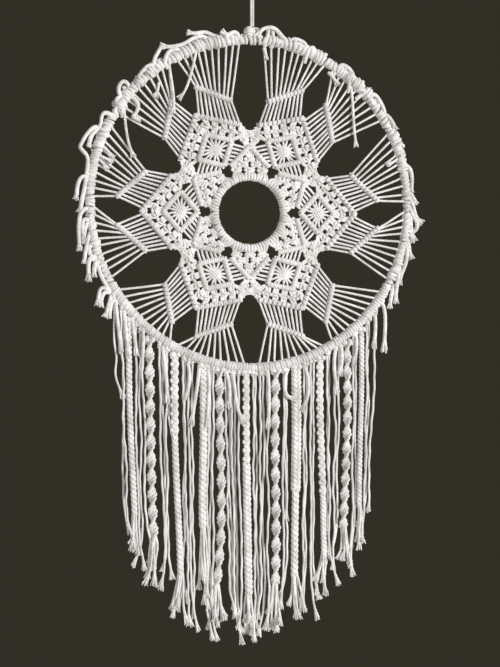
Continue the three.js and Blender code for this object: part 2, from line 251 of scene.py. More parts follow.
def twine(name, cords, material, steps=3):
    curve = bpy.data.curves.new(name, "CURVE")
    curve.dimensions = "3D"
    curve.bevel_depth = mm  # a point's radius is then in mm
    curve.bevel_resolution = cordSides
    curve.use_fill_caps = True
    corners = []
    lengths = []
    for points, radius in cords:
        count = len(points)
        radii = radius if isinstance(radius, (list, tuple)) else [radius] * count
        spline = curve.splines.new("NURBS")
        spline.points.add(count - 1)
        spline.points.foreach_set("co", [c for p in points for c in (p[0] * mm, p[1] * mm, p[2] * mm, 1.0)])
        spline.points.foreach_set("radius", list(radii))
        spline.use_endpoint_u = True
        spline.order_u = min(4, count)
        spline.resolution_u = steps
        # the corners of its quads, and of the triangles that close its two ends
        corners.append(4 * ((count - 1) * steps - 1) * sectionCorners + 6 * (sectionCorners - 2))
        lengths.append(pathLength(points))
    holder = bpy.data.objects.new(name, curve)
    mesh = bpy.data.meshes.new_from_object(holder)
    bpy.data.objects.remove(holder)
    bpy.data.curves.remove(curve)
    # the map runs once round a cord and in mm along it
    flat = np.zeros(2 * len(mesh.loops), np.float32)
    mesh.uv_layers[0].data.foreach_get("uv", flat)
    flat[1::2] *= np.repeat(lengths, corners)
    mesh.uv_layers[0].data.foreach_set("uv", flat)
    mesh.name = name
    mesh.materials.clear()
    mesh.materials.append(material)
    return placed(name, mesh)


def straightSpine(start, end):
    out = (end - start).normalized().cross(towardsView)
    return lambda t: (start.lerp(end, t), out)


def arcSpine(centre, first, last):
    def spine(t):
        angle = mix(first, last, t)
        at = around(centre, angle, centre["radius"])
        return at, (at - around(centre, angle, 0)).normalized()
    return spine


coilPoints = 8  # points to a turn, and how far a smooth line through them falls short of their circle
coilShrink = (2 + cos(2 * pi / coilPoints)) / 3


def coil(cords, spine, turns, wind, thick, uneven=0.05, pull=0.14):
    # hitches: a cord wound round a core, its turns in pairs as double half hitches are
    points = []
    for k in range(coilPoints * turns + 1):
        turn = k / coilPoints
        pair = pull * sin(pi * turn)
        if k % (2 * coilPoints) == 0:
            lump = 1 + 2 * uneven * rng.uniform(-1, 1)
        at, out = spine(min(1, max(0, (turn + pair) / turns)))
        angle = 2 * pi * turn
        swell = 1 - pull * cos(pi * turn)
        reach = wind * swell * lump * (1 + uneven * rng.uniform(-1, 1)) / coilShrink
        points.append(at + out * (reach * cos(angle)) + towardsView * (reach * sin(angle)))
    cords.append((points, thick))


# a square knot in units of its cord: across, along and towards the view
# of its four cords the first and last tie it, and the two others run through it
leftTie = (
    (-0.85, -1.25, 0.0), (-1.0, -0.8, 0.3), (0.0, -0.5, 1.35), (1.4, -0.4, 0.4), (1.8, 0.0, -0.1),
    (1.4, 0.4, 0.4), (0.0, 0.5, 1.35), (-1.0, 0.8, 0.3), (-0.85, 1.25, 0.0),
)
rightTie = (
    (0.85, -1.25, 0.0), (1.3, -0.6, 0.8), (1.3, -0.3, -0.5), (0.0, -0.25, -1.35), (-1.4, -0.3, -0.3),
    (-1.75, -0.3, 0.5), (-1.85, 0.0, 0.55), (-1.75, 0.3, 0.5), (-1.4, 0.3, -0.3), (0.0, 0.25, -1.35),
    (1.3, 0.3, -0.5), (1.3, 0.6, 0.8), (0.85, 1.25, 0.0),
)
firstCore = ((-0.3, -1.25, 0.0), (-0.5, 0.0, 0.0), (-0.3, 1.25, 0.0))
secondCore = ((0.3, -1.25, 0.0), (0.5, 0.0, 0.0), (0.3, 1.25, 0.0))
knotWays = (leftTie, firstCore, secondCore, rightTie)


def throughKnot(way, middle, across, along, size, flat=0.5):
    # one cord of a square knot, which is pressed flat
    front = towardsView * flat
    return [middle + (across * x + along * y + front * z) * size for x, y, z in knotWays[way]]


def frayed(cords, way, thick, long=8.5):
    # a cut end that has opened into a small brush of fibres
    end = way[-1]
    heading = (end - way[-2]).normalized()
    aside = heading.cross(towardsView).normalized()
    flare = rng.uniform(2.2, 4.1) / thick
    long *= rng.uniform(0.8, 1.25)
    root = heading * 3  # inside the cord
    fibres = 16
    goldenTurn = 2.4  # spreads them as evenly as the seeds of a sunflower
    for k in range(fibres):
        turn = goldenTurn * k + rng.uniform(-0.4, 0.4)
        off = sqrt((k + rng.random()) / fibres) * thick
        lean = aside * (off * cos(turn)) + towardsView * (0.6 * off * sin(turn))
        start = end - root + lean * 0.5
        mid = end + heading * (0.4 * long) + lean * 1.1
        tip = end + heading * (long * rng.uniform(0.8, 1.1)) + lean * flare + jitter(0.4)
        cords.append(([start, mid, tip], [0.56, 0.52, 0.36]))


def cutEnd(cords, way, kind):
    # comes forward from its root and hangs free in front of the work
    points = [Vector((x, kind["depth"], z)) for x, z in way]
    points[0].y = -1.0
    cords.append((points, kind["thick"]))
    frayed(cords, points, kind["fray"], kind["brush"])


def dress(piece, body, nodes):
    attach(piece, body)
    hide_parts(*nodes)


makeCamera()
makeLamps()
makeStage()
# each cotton's second colour is its darker tone: painted shade in the fibres' grooves, and greyer patches
# from handling
bleachedCotton = cottonCord("bleachedCottonCord", "#ebe9e7", "#c4c1bd")
naturalCotton = cottonCord("naturalCottonString", "#eae7e2", "#c6c2bb")
wireSteel = drawnSteel("drawnSteelWire")
for wire in ("outer_hoop", "inner_ring"):
    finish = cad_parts[wire].data.materials
    finish.clear()
    finish.append(wireSteel)
print("camera, light and finishes are set")

# hanger: a doubled string over the nail, and the knot that grips the hoop
hanger = {
    "thick": 0.9,
    "apart": 1.0,
    "foot": -42.1,
    "straight": -9.9,  # the height up to which it is straight
    "bend": (2.9, -1.8),  # radius, and the height of its centre
    "turn": 110,  # degrees to each side of the nail
}


def makeHanger():
    reach, centre = hanger["bend"]
    half = [Vector((-hanger["apart"], 0, z)) for z in evenly(hanger["foot"], hanger["straight"], 7)]
    bow = []
    for turn in map(radians, evenly(-hanger["turn"], hanger["turn"], 9)):
        bow.append(Vector((reach * sin(turn), 0, centre + reach * cos(turn))))
    points = half + bow + [Vector((-p.x, 0, p.z)) for p in reversed(half)]
    loop = twine("hanger_string", [(points, hanger["thick"])], naturalCotton, steps=4)
    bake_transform(loop)
    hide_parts("hanger_loop")


knot = {"middle": (0.0, 0.0, -48.2), "size": 2.2, "deep": 2.4, "thick": 1.75, "points": 24, "uneven": 0.1}


def makeKnot():
    cords = []
    centre = Vector(knot["middle"])
    # a trefoil, as an overhand knot looks when it is pulled tight
    points = []
    for k in range(knot["points"] + 1):
        t = 2 * pi * k / knot["points"]
        x = sin(t) + 2 * sin(2 * t)
        z = cos(t) - 2 * cos(2 * t)
        points.append(centre + Vector((x * knot["size"], -sin(3 * t) * knot["deep"], z * knot["size"])))
    cords.append((points, knot["thick"]))
    coil(cords, arcSpine(hoop, -4.2, 3.4), turns=5, wind=3.1, thick=1.5, uneven=knot["uneven"])
    start, end = (centre + Vector((-3, -1, z)) for z in (3, -3))
    coil(cords, straightSpine(start, end), turns=3, wind=2.6, thick=1.4, uneven=knot["uneven"])
    piece = twine("hanger_overhand_knot", cords, naturalCotton, steps=4)
    dress(piece, "knot", ["hanger_knot"])


makeHanger()
makeKnot()
print("hanger is hung")

# leaves: twelve cords on the ring, square-knotted three, two, one, and a hitched bar along each side
leaf = {
    "cords": 12,
    "spread": 27.5,  # degrees to each side
    "cord": 1.15,
    "hitch": 1.5,
    "wind": 3.0,  # from the ring's wire to a hitch's middle
    "knot": 2.05,
    "broad": 1.2,  # its knots are this much broader than those of the joint
    "rows": ((38.2, (-12.3, 0.0, 12.3)), (43.3, (-6.2, 6.2)), (48.4, (0.0,))),
    "apex": 60.3,
    "shoulder": (41.3, 17.6),
    "bar": {"turns": 14, "wind": 1.45, "thick": 1.15, "pull": 0.07},
    "webCords": 6,
    "web": (0.13, 0.92),  # the part of the bar that they leave from
    "webCord": 1.05,
    "joint": ((66.0, (-4.9, 4.9)), (70.8, (0.0,))),  # knots that tie two diamonds together above the point
    "jointEnd": (73.2, 1.4),  # where the cords of the last knot end, and how far apart
    "jointSide": (70.6, 2.2),  # the same for the cords beside it
    "edge": ((8.0, 79.0), (6.2, 75.4), (2.4, 73.2)),  # the cords round the opening between two diamonds
    "insets": (0.0, 2.0),
}
# diamonds: a chevron of square knots inside a hitched bar, and a gathered flower in a square frame
diamond = {
    "slope": 0.85,  # how far a leg comes in for each mm to the side
    "corner": 90.3,
    "knots": 5,
    "first": 4.2,
    "pitch": 8.3,
    "knot": 1.95,
    "stretch": (1.05, 1.22, 0.85),  # its knots along the leg, across it and in depth
    "tilt": 0.25,  # no two knots lie quite the same way
    "lean": (-3.3, 3.4),  # how far the first knot's cords shift along the leg, at the bar and at the frame
    "cord": 1.0,
    "foot": 0.8,
    "reach": (7.0, 6.4),  # from a knot's middle to the frame and to the bar
    "gap": 1.5,
    "point": ((-3.8, 96.4), (-1.6, 94.9), (1.6, 94.9), (3.8, 96.4)),
    "frame": {"middle": 64.4, "out": 15.6, "in": 16.4, "side": 17.8},
    "bar": {"turns": 13, "wind": 1.45, "thick": 1.15, "pull": 0.07},
}
flower = {
    "spokes": (0.21, 0.4, 0.6, 0.79),  # where a side's cords leave the frame
    "spoke": (0.85, 1.15),  # at the frame and at the knot
    "square": 3.6,  # how far a cord runs square to its side
    "gather": (5.0, 2.5),  # from the middle, where a cord goes under the knot
    "under": 0.6,  # how high it lies there, as a share of the dome
    "dome": 1.7,
    "knotReach": 6.2,  # how far the gathering knot reaches to each side
    "knotPitch": 2.1,
    "knotCord": 1.12,
    "over": ((-1.0, 0.2), (-0.7, 0.9), (-0.25, 1.4), (0.25, 1.4), (0.7, 0.9), (1.0, 0.2)),
}
barLift = towardsView * 0.9  # the bars stand in front of the knots

# over the ring from behind and out again in front, as a lark's head lies: outwards and backwards
larksHead = ((0.7, 0.75), (-0.3, 1.0), (-1.0, 0.35), (-1.0, -0.35), (-0.3, -1.0), (0.6, -0.8))


def ringHitch(angle):
    wind = leaf["wind"] / coilShrink
    middle = ring["radius"] - 0.4
    return [
        around(ring, angle, middle + wind * out, 0, wind * back) + jitter(0.3) for out, back in larksHead
    ]


def hitchedBar(cords, start, end, bar):
    spine = straightSpine(start + barLift, end + barLift)
    coil(cords, spine, bar["turns"], bar["wind"], bar["thick"], pull=bar["pull"])


def knotRows(ways, rows, spot, across, along):
    # each knot takes four cords, and the cords of a row are shared out between the knots of the next
    for row, (out, sides) in enumerate(rows):
        for column, side in enumerate(sides):
            middle = spot(out, side) + jitter(0.25)
            for way in range(4):
                ways[2 * row + 4 * column + way] += throughKnot(way, middle, across, along, leaf["knot"])


def makeLeaf(number, angle):
    cords = []
    spot = partial(around, ring, angle)
    across = spot(0, 1) - spot(0)
    along = spot(1) - spot(0)
    half = leaf["cords"] // 2
    ways = [ringHitch(angle + turn) for turn in evenly(-leaf["spread"], leaf["spread"], leaf["cords"])]
    hitched = len(larksHead)
    knotRows(ways, leaf["rows"], spot, across * leaf["broad"], along)
    shoulderOut, shoulderSide = leaf["shoulder"]
    for j, way in enumerate(ways):
        hand = -1 if j < half else 1
        step = (j if j < half else leaf["cords"] - 1 - j) + 0.5
        at = step / half
        out = mix(shoulderOut, leaf["apex"], at)
        way.append(spot(out, hand * shoulderSide * (1 - at)))
        cords.append((way, [leaf["hitch"]] * hitched + [leaf["cord"]] * (len(way) - hitched)))
    apex = spot(leaf["apex"])
    span = diamond["frame"]
    for hand in (-1, 1):
        shoulder = spot(shoulderOut, hand * shoulderSide)
        hitchedBar(cords, shoulder, apex, leaf["bar"])
        petal = angle + 30 * hand
        corner = around(ring, petal, span["middle"], -hand * span["side"])
        inner = around(ring, petal, span["middle"] - span["in"])
        for t in evenly(*leaf["web"], leaf["webCords"]):
            start = apex.lerp(shoulder, t)
            end = corner.lerp(inner, t)
            bow = along * rng.uniform(0.3, 1.5)
            cords.append(([start, start.lerp(end, 0.5) + bow, end], leaf["webCord"]))
    # the joint above the point: its cords come up from the bars, and the last knot closes the opening
    offsets = [j - 3.5 for j in range(8)]  # its cords, counted from the middle
    ways = []
    for off in offsets:
        foot = spot(leaf["apex"] - 0.8 * abs(off), 1.1 * off)
        ways.append([foot, spot(leaf["apex"] + 3.0, 1.3 * off)])
    knotRows(ways, leaf["joint"], spot, across, along)
    for off, way in zip(offsets, ways):
        out, apart = leaf["jointEnd"] if abs(off) < 2 else leaf["jointSide"]
        way.append(spot(out, apart * off))
        cords.append((way, leaf["cord"]))
    edge = [(-side, out) for side, out in leaf["edge"]] + list(reversed(leaf["edge"]))
    for inset in leaf["insets"]:
        wider = 1 + 0.12 * inset
        points = [spot(out - inset, side * wider) for side, out in edge]
        cords.append((points, leaf["cord"]))
    piece = twine(f"knotted_leaf_{number}", cords, bleachedCotton)
    dress(piece, "wheel", [f"leaf_{number}"])


def tieFlower(cords, middle, along, across):
    # its cords run from all four sides of the frame to a plump square knot in the middle
    span = diamond["frame"]
    dome = towardsView * flower["dome"]
    under = dome * flower["under"]
    corners = ((span["out"], 0), (0, span["side"]), (-span["in"], 0), (0, -span["side"]))
    thin, full = flower["spoke"]
    for k in range(4):
        first, second = corners[k], corners[(k + 1) % 4]
        for place in flower["spokes"]:
            t = place + rng.uniform(-0.03, 0.03)
            foot = middle + along * mix(first[0], second[0], t) + across * mix(first[1], second[1], t)
            ray = (foot - middle).normalized()
            square = (along * (first[0] + second[0]) + across * (first[1] + second[1])).normalized()
            points = [foot, foot - square * flower["square"] + jitter(0.4)]
            points += [middle + ray * out + under for out in flower["gather"]]
            cords.append((points, [thin, thin, full, full]))
    lean = rng.uniform(-0.7, 0.7)  # the way in which the knot's cords lie
    over = across * cos(lean) + along * sin(lean)
    beside = along * cos(lean) - across * sin(lean)
    for row in range(-2, 3):
        reach = flower["knotReach"] * (1 - 0.09 * row * row)
        points = []
        for t, high in flower["over"]:
            apart = row * flower["knotPitch"] * (1 - 0.45 * t * t) + 0.5 * t
            points.append(middle + over * (t * reach) + beside * apart + dome * high * (1 - 0.1 * row * row))
        cords.append((points, flower["knotCord"]))


def makeDiamond(number, angle):
    cords = []
    spot = partial(around, ring, angle)
    origin = spot(0)
    along = spot(1) - origin
    across = spot(0, 1) - origin
    span = diamond["frame"]
    inside, outside = diamond["reach"]
    long, broad, deep = diamond["stretch"]
    corner = spot(diamond["corner"])
    for hand in (-1, 1):
        down = (across * hand - along * diamond["slope"]).normalized()
        outward = (across * hand * diamond["slope"] + along).normalized()
        side = spot(span["middle"], hand * span["side"])
        last = diamond["knots"] - 1
        for k in range(diamond["knots"]):
            middle = corner + down * (diamond["first"] + diamond["pitch"] * k) + jitter(0.2)
            tilt = rng.uniform(-diamond["tilt"], diamond["tilt"])
            tiltedDown = (down + outward * tilt) * long
            tiltedOut = (outward - down * tilt) * broad
            # the pair at the point leans to the bar's corner, and the last knot hangs on to the frame's
            spreadOut, spreadIn = diamond["lean"] if k == 0 else (0.0, 0.0)
            for way in range(4):
                shift = down * ((way - 1.5) * diamond["gap"]) + towardsView * (0.5 if way % 2 else -0.5)
                foot = middle - outward * inside + shift + down * spreadIn
                if k == last:
                    foot = side.lerp(middle, 0.12) + shift * 0.6
                points = [foot]
                points += throughKnot(way, middle, tiltedDown, tiltedOut, diamond["knot"], deep)
                points.append(middle + outward * outside + shift + down * spreadOut)
                thin = diamond["foot"]
                cords.append((points, [thin] + [diamond["cord"]] * (len(points) - 2) + [thin]))
        hitchedBar(cords, spot(span["middle"] + span["out"]), side, diamond["bar"])
        hitchedBar(cords, side, spot(span["middle"] - span["in"]), diamond["bar"])
    # a cord across the point, inside its bars
    cords.append(([spot(out, side) for side, out in diamond["point"]], diamond["cord"]))
    tieFlower(cords, spot(span["middle"]), along, across)
    piece = twine(f"chevron_diamond_{number}", cords, bleachedCotton)
    dress(piece, "wheel", [f"diamond_{number}"])


for number in range(1, 7):
    makeLeaf(number, 60 * (number - 1))
for number, angle in enumerate(petalAngles, 1):
    makeDiamond(number, angle)
print("leaves and diamonds are knotted")

# fans: ten taut cords from a hitched bar through a second one to the hitches round the hoop
fan = {
    "cords": 10,
    "cord": 1.0,
    "bar": 100.0,
    "barSide": (-0.4, 33.0),
    "start": (2.2, 31.8),
    "waist": ((122.6, 12.0), (95.2, 36.2)),
    "across": (0.03, 0.97),
    "hitch": {"turns": 20, "wind": 1.4, "thick": 1.2, "pull": 0.2},
    "rim": {"turns": 30, "wind": 3.0, "thick": 1.6, "uneven": 0.05},
    "sideRim": {"turns": 23, "wind": 2.4, "thick": 1.55, "uneven": 0.12},
    "upperRim": {"turns": 20, "wind": 2.8, "thick": 1.85, "uneven": 0.12},
    "rimPull": 0.06,
    "rimAngle": 30.6,
    "land": (1.5, 27.5),
    "knotGap": (26.7, 25.7),  # the two fans beside the hanger knot stop short of it
    "lumps": 6,
    "slack": 1.9,
    "slackDepth": -2.6,
}
dangler = {"depth": -3.4, "thick": 1.25, "fray": 1.25, "brush": 5.0}
upperLump = {"out": (0.2, 1.8), "wind": (3.0, 4.0), "thick": (1.6, 2.0)}
sideLump = {"out": (0.0, 0.8), "wind": (2.4, 2.9), "thick": (1.4, 1.7)}

# cut ends that dangle inside the hoop: their fan, and the way that each takes
danglers = (
    ("3_right", ((-51.7, -61), (-53, -70), (-57, -86), (-61.5, -101), (-65.5, -106))),
    ("3_left", ((-77, -80), (-76, -92), (-72.4, -108), (-73.6, -118))),
    ("2_right", ((-118.4, -116), (-117.6, -130), (-117, -146), (-112, -158))),
    ("2_right", ((-139.1, -152), (-134.4, -156.6), (-131.6, -160.2))),
    ("2_right", ((-142.9, -161.1), (-137.2, -163.8), (-132.6, -166))),
    ("2_right", ((-141, -165.6), (-138.2, -168.3), (-136, -171))),
    ("3_left", ((-86.5, -95.9), (-87.4, -101.4), (-88.6, -104.6))),
    ("4_right", ((93, -91), (95.6, -106), (94.4, -126), (97.4, -144))),
    ("5_left", ((139.2, -158.6), (134.5, -161.8), (132, -163))),
)

# cut ends and slack turns on the rim: their fan, how far the end has frayed, and the way that each takes
rimEnds = (
    ("3_right", 4.5, ((-27.3, -57), (-29.6, -53.7), (-33.8, -53), (-38.5, -51.2), (-43.2, -49.2),
        (-48.9, -49.4), (-53.6, -50.9), (-57.3, -50.7))),
    ("3_right", 4.5, ((-40.4, -58.8), (-42.3, -54.8), (-46.1, -53.2), (-50.8, -53.6), (-55.5, -55.2),
        (-60.2, -57.9), (-64.9, -61), (-70.5, -62.4), (-76.1, -63.7), (-79.9, -63.4))),
    ("3_right", 0, ((-65.8, -71.5), (-67.7, -66.1), (-72.4, -65.2), (-77.1, -67.3), (-80.8, -72.4),
        (-81.2, -78.7), (-78, -82.4))),
    ("3_right", 0, ((-26.3, -60.6), (-26, -55.7), (-24.2, -51.6), (-20.7, -49.2), (-16.5, -47.8),
        (-13.5, -49.8), (-13, -54.3), (-12.7, -58.8))),
    ("3_right", 4.5, ((-19.7, -54.3), (-23.5, -51.1), (-25.6, -49.6))),
    ("3_left", 4.5, ((-93.1, -85.1), (-91.8, -79.6), (-90.9, -75.6), (-88.8, -71), (-86.5, -67),
        (-85.5, -64.7))),
    ("3_left", 0, ((-90.2, -84.2), (-93.4, -80.4), (-96.8, -81.1), (-100, -84.7), (-103.4, -88.3),
        (-106.2, -92.3), (-105.8, -96.8))),
    ("3_left", 0, ((-112.8, -100.5), (-116.1, -95.9), (-120.3, -95.9), (-123.3, -100.1), (-123.8, -105.3),
        (-121.9, -109.5), (-117.5, -110))),
    ("3_left", 0, ((-119.4, -109.5), (-124.1, -109.9), (-126.1, -113.1), (-124.8, -116.7),
        (-120.8, -116.7))),
    ("3_left", 0, ((-119.4, -127.6), (-119.8, -122.2), (-122.6, -118.2), (-126.9, -120), (-127.1, -124.9),
        (-123.6, -127.6))),
    ("3_left", 4.5, ((-114.7, -107.7), (-110.9, -109.5), (-107.2, -113.3), (-105.7, -117.7),
        (-106.4, -122.6), (-110, -126.3), (-110.9, -127.6), (-108.1, -128.1))),
    ("2_right", 4.5, ((-126.9, -130.3), (-129.7, -126.2), (-133.9, -123.8), (-137.8, -124.9),
        (-139.3, -129.4), (-139.1, -133.9), (-141.5, -138), (-145.2, -141.6), (-148.5, -145.7),
        (-149.6, -151.1))),
    ("2_right", 4.5, ((-139.1, -139.4), (-143.3, -136.5), (-147, -137.7), (-150.8, -142.3), (-154.2, -146.6),
        (-156.6, -151.1), (-158.9, -154.8), (-155.5, -158.6), (-152.3, -161.5), (-150.8, -166.1),
        (-151.3, -172.9), (-152, -179.2))),
    ("4_left", 0, ((4.7, -55.2), (5.6, -48.1), (8.6, -44.7), (13.2, -43.1), (18.2, -42.7), (22.6, -44.9),
        (25.8, -48.3), (29.1, -51.8), (32.9, -54.7), (35.2, -58.8))),
    ("4_left", 0, ((19.6, -44.8), (19.1, -49.8), (18.3, -54.3), (17.9, -60.6))),
    ("4_left", 0, ((11.8, -59.7), (13.2, -53.4), (15, -48), (15, -44.3))),
    ("4_left", 0, ((34.3, -58.8), (36, -53.2), (39.5, -51.9), (44.6, -52.9), (48.9, -55.7), (51.7, -59.7),
        (54, -64.3))),
    ("4_left", 0, ((32.9, -61.5), (36.7, -56.3), (41.4, -55.9), (46.2, -57.9), (49.6, -62), (51, -67))),
    ("4_left", 0, ((49.2, -73.3), (50.6, -66.5), (52.9, -61.5), (55.8, -59), (58.3, -61.2), (58.5, -65.6),
        (56.4, -69.7))),
    ("4_left", 4.5, ((11.3, -61.5), (11.6, -65.2), (11.8, -67.9))),
    ("4_right", 0, ((77.5, -83.3), (79.5, -77.8), (82.7, -74.8), (86.5, -73.8), (90.4, -76.6), (94, -80.4),
        (95.7, -86), (97.5, -91.4), (100.6, -96.8))),
    ("4_right", 0, ((81.3, -84.2), (83.7, -78.7), (87.6, -79.6), (90.6, -84.3), (91.6, -90.5),
        (91.5, -99.5))),
    ("4_right", 4.5, ((72.4, -81.5), (76.1, -85.5), (79, -89.6))),
    ("4_right", 4.5, ((98.7, -105), (102.5, -101.4), (106.7, -98.3), (109.5, -97.4))),
    ("4_right", 0, ((108.1, -102.3), (113.3, -99.5), (117.3, -101), (120.8, -106.2), (124.1, -112.2),
        (126.3, -117.7), (127.8, -124))),
    ("4_right", 0, ((96.8, -89.6), (100.6, -94.1), (105.8, -98.1), (110.9, -103.2), (115.2, -108.6),
        (118.4, -114.9))),
    ("4_right", 4.5, ((123.1, -116.7), (127.8, -118.6), (131.4, -121.5), (133.7, -125.4), (134.4, -128.5))),
    ("5_left", 0, ((127.8, -127.6), (131.6, -131.2), (133.8, -136.2), (135.4, -141.2), (135.4, -146.6))),
    ("5_left", 4.5, ((134.9, -146.6), (137.2, -146.6), (140.5, -146.4), (141.9, -150.2), (141.6, -155.7),
        (143.8, -160.2), (143.3, -165.6))),
    ("5_left", 4.5, ((140.1, -169.2), (144.4, -164.3), (148.8, -165.6), (151.9, -170.6), (152.5, -177.4),
        (151.7, -185.5))),
    ("2_right", 5, ((-148.5, -184.6), (-151.8, -181.5), (-155.1, -180.5), (-158.3, -183.3), (-160.2, -188.2),
        (-160.7, -192.8), (-161.1, -197.3))),
    ("2_right", 4, ((-149.5, -175.6), (-152.3, -180.1), (-153.4, -185.5), (-154, -191), (-155.1, -197.3),
        (-156.5, -203.6), (-157.7, -209.1))),
    ("2_left", 6, ((-148.5, -210), (-151.8, -208.6), (-155.1, -210.2), (-157.9, -214), (-158.9, -219.9),
        (-159.1, -226.2), (-158.9, -233.5), (-158.9, -239.8))),
    ("2_left", 5, ((-149.5, -220.8), (-153.2, -217.7), (-155.6, -219.9), (-156, -226.2), (-155.5, -232.6))),
    ("2_left", 5, ((-150.4, -221.7), (-153.2, -223.5), (-153.4, -229), (-154.5, -234.4))),
    ("2_left", 4, ((-148.5, -230.8), (-150.9, -236.2), (-152.7, -242.5), (-153.6, -248.9),
        (-154.2, -254.3))),
    ("2_left", 0, ((-147.6, -240.7), (-149.9, -243.4), (-149.9, -248.9), (-147.1, -251.6),
        (-145.7, -255.2))),
    ("2_left", 7, ((-142.9, -253.4), (-147.1, -250.7), (-150, -253.9), (-150.6, -259.7), (-150, -267))),
    ("2_left", 5, ((-141, -257.9), (-143.8, -254.8), (-145.5, -258.8), (-145.3, -265.2))),
    ("2_left", 0, ((-144.8, -252.5), (-142.3, -259.7), (-140.1, -266.1), (-137.6, -272.4), (-134, -277.8),
        (-130.2, -282.4))),
    ("1_right", 6, ((-129.7, -284.2), (-133.5, -280.2), (-137.2, -278.7), (-140.2, -280.6), (-141.4, -285.1),
        (-141.6, -289.6))),
    ("1_right", 5, ((-130.7, -284.2), (-135.8, -281.5), (-137.8, -285.1), (-139.1, -290.5))),
    ("1_right", 4, ((-128.8, -286), (-131.3, -291.4), (-133, -296.8), (-134.8, -302.3))),
    ("1_right", 3, ((-123.1, -293.2), (-126.9, -289.6), (-130.2, -291.9), (-131.3, -297.3),
        (-131.2, -304.1))),
    ("5_left", 4, ((148.5, -184.6), (151.3, -190.1), (153.8, -194.6), (155.1, -197.3))),
    ("5_left", 5, ((148.5, -191.9), (151.8, -198.2), (153.8, -203.6), (155.1, -209.1), (157, -213),
        (159.3, -215))),
    ("5_left", 0, ((149.5, -199.1), (151, -205.4), (152.8, -210.9), (156, -214.5), (157.9, -219),
        (157.5, -223.5), (154.6, -226.2))),
    ("5_right", 5, ((148.5, -207.2), (151.3, -211.8), (151, -218.1), (151.7, -224.4), (153.2, -229))),
    ("5_right", 4, ((147.6, -216.3), (149.9, -222.6), (151.3, -229), (151.9, -231.7))),
    ("5_right", 5, ((147.6, -229.9), (149.5, -236.2), (149.6, -242.5), (150.4, -246.2))),
    ("5_right", 5, ((146.6, -231.7), (147.6, -239.8), (147.4, -248), (146.3, -255.2), (143.8, -261.5),
        (141.4, -267), (141, -270.6))),
    ("5_right", 5, ((141, -255.2), (140.1, -262.4), (138.6, -270.6), (137.2, -277.8), (136.9, -284.2),
        (136.3, -287.8))),
    ("6_left", 5, ((135.4, -275.1), (133.5, -281.5), (131.6, -286.9), (130.7, -292.3))),
)


def rimLump(cords, angle):
    # a thicker knot among the hitches, which sits a little outside the wire
    lump = upperLump if abs(angle) < 72 else sideLump
    out = rng.uniform(*lump["out"])
    wind = rng.uniform(*lump["wind"])
    half = rng.uniform(1.2, 2.1)  # degrees
    thick = rng.uniform(*lump["thick"])
    spine = arcSpine({**hoop, "radius": hoop["radius"] + out}, angle - half, angle + half)
    coil(cords, spine, rng.choice((2, 3)), wind, thick, 0.14)


def makeFan(home, angle, hand):
    cords = []
    spot = partial(around, ring, angle)
    nearKnot = abs(angle + hand * 30) < 1
    rimEnd, landEnd = fan["knotGap"] if nearKnot else (fan["rimAngle"], fan["land"][1])
    waistStart, waistEnd = (spot(out, hand * side) for out, side in fan["waist"])

    def onBar(side):
        return spot(fan["bar"] - diamond["slope"] * side, hand * side)

    for k in range(fan["cords"]):
        t = k / (fan["cords"] - 1)
        start = onBar(mix(*fan["start"], t))
        waist = waistStart.lerp(waistEnd, mix(*fan["across"], t)) + jitter(0.3)
        land = around(hoop, angle + hand * mix(fan["land"][0], landEnd, t), hoop["radius"] - 1) + jitter(0.8)
        for a, b, slack in ((start, waist, 0.35), (waist, land, 0.6)):
            between = [a.lerp(b, share) + jitter(slack) for share in (0.35, 0.65)]
            cords.append(([a, *between, b], fan["cord"]))
    hitchedBar(cords, *map(onBar, fan["barSide"]), fan["hitch"])
    hitchedBar(cords, waistStart, waistEnd, fan["hitch"])
    fromTop = abs(angle + hand * 15)  # degrees, to the middle of the fan
    rim = fan["upperRim"] if fromTop < 60 else fan["sideRim"] if fromTop < 120 else fan["rim"]
    turns = round(rim["turns"] * rimEnd / fan["rimAngle"])
    spine = arcSpine(hoop, angle - hand * 0.4, angle + hand * rimEnd)
    coil(cords, spine, turns, rim["wind"], rim["thick"], rim["uneven"], fan["rimPull"])
    lumps = fan["lumps"] if abs(angle) < 60 else 2 * fan["lumps"]
    for k in range(lumps):
        place = angle + hand * mix(3, rimEnd - 3, (k + rng.uniform(0.2, 0.8)) / lumps)
        if abs(place) < 136:  # the lower rim is even
            rimLump(cords, place)
    for owner, brush, way in rimEnds:
        if owner == home:
            points = [Vector((x, fan["slackDepth"], z)) + jitter(0.4) for x, z in way]
            points[0].y = 0.0
            cords.append((points, [fan["slack"] * rng.uniform(0.85, 1.12) for _ in points]))
            if brush:
                frayed(cords, points, thick=1.6, long=brush)
            else:
                points[-1].y = 0.0
    for owner, way in danglers:
        if owner == home:
            cutEnd(cords, way, dangler)
    piece = twine(f"fan_{home}_cords", cords, bleachedCotton)
    dress(piece, "wheel", [f"fan_{home}"])


for number, angle in enumerate(petalAngles, 1):
    makeFan(f"{number}_left", angle, -1)
    makeFan(f"{number}_right", angle, 1)
print("fans are hitched to the hoop")

# fringe: eleven sinnets and the plain strands between them
fringe = {
    "left": -131.0,
    "right": 120.0,
    "middle": -14.0,
    "lowest": -596.0,
    "rise": 96.0,
    "sinnetReach": 153.4,  # radius at which a sinnet leaves the rim
    "strandReach": 151.5,
    "tucked": 4.0,  # mm of a sinnet among the rim's hitches
    "tassel": 40.0,
    "bend": 40.0,  # mm over which the fringe turns at the rim
    "strand": 1.0,
}
stub = {"depth": -3.2, "thick": 1.65, "fray": 1.9, "brush": 9.0}
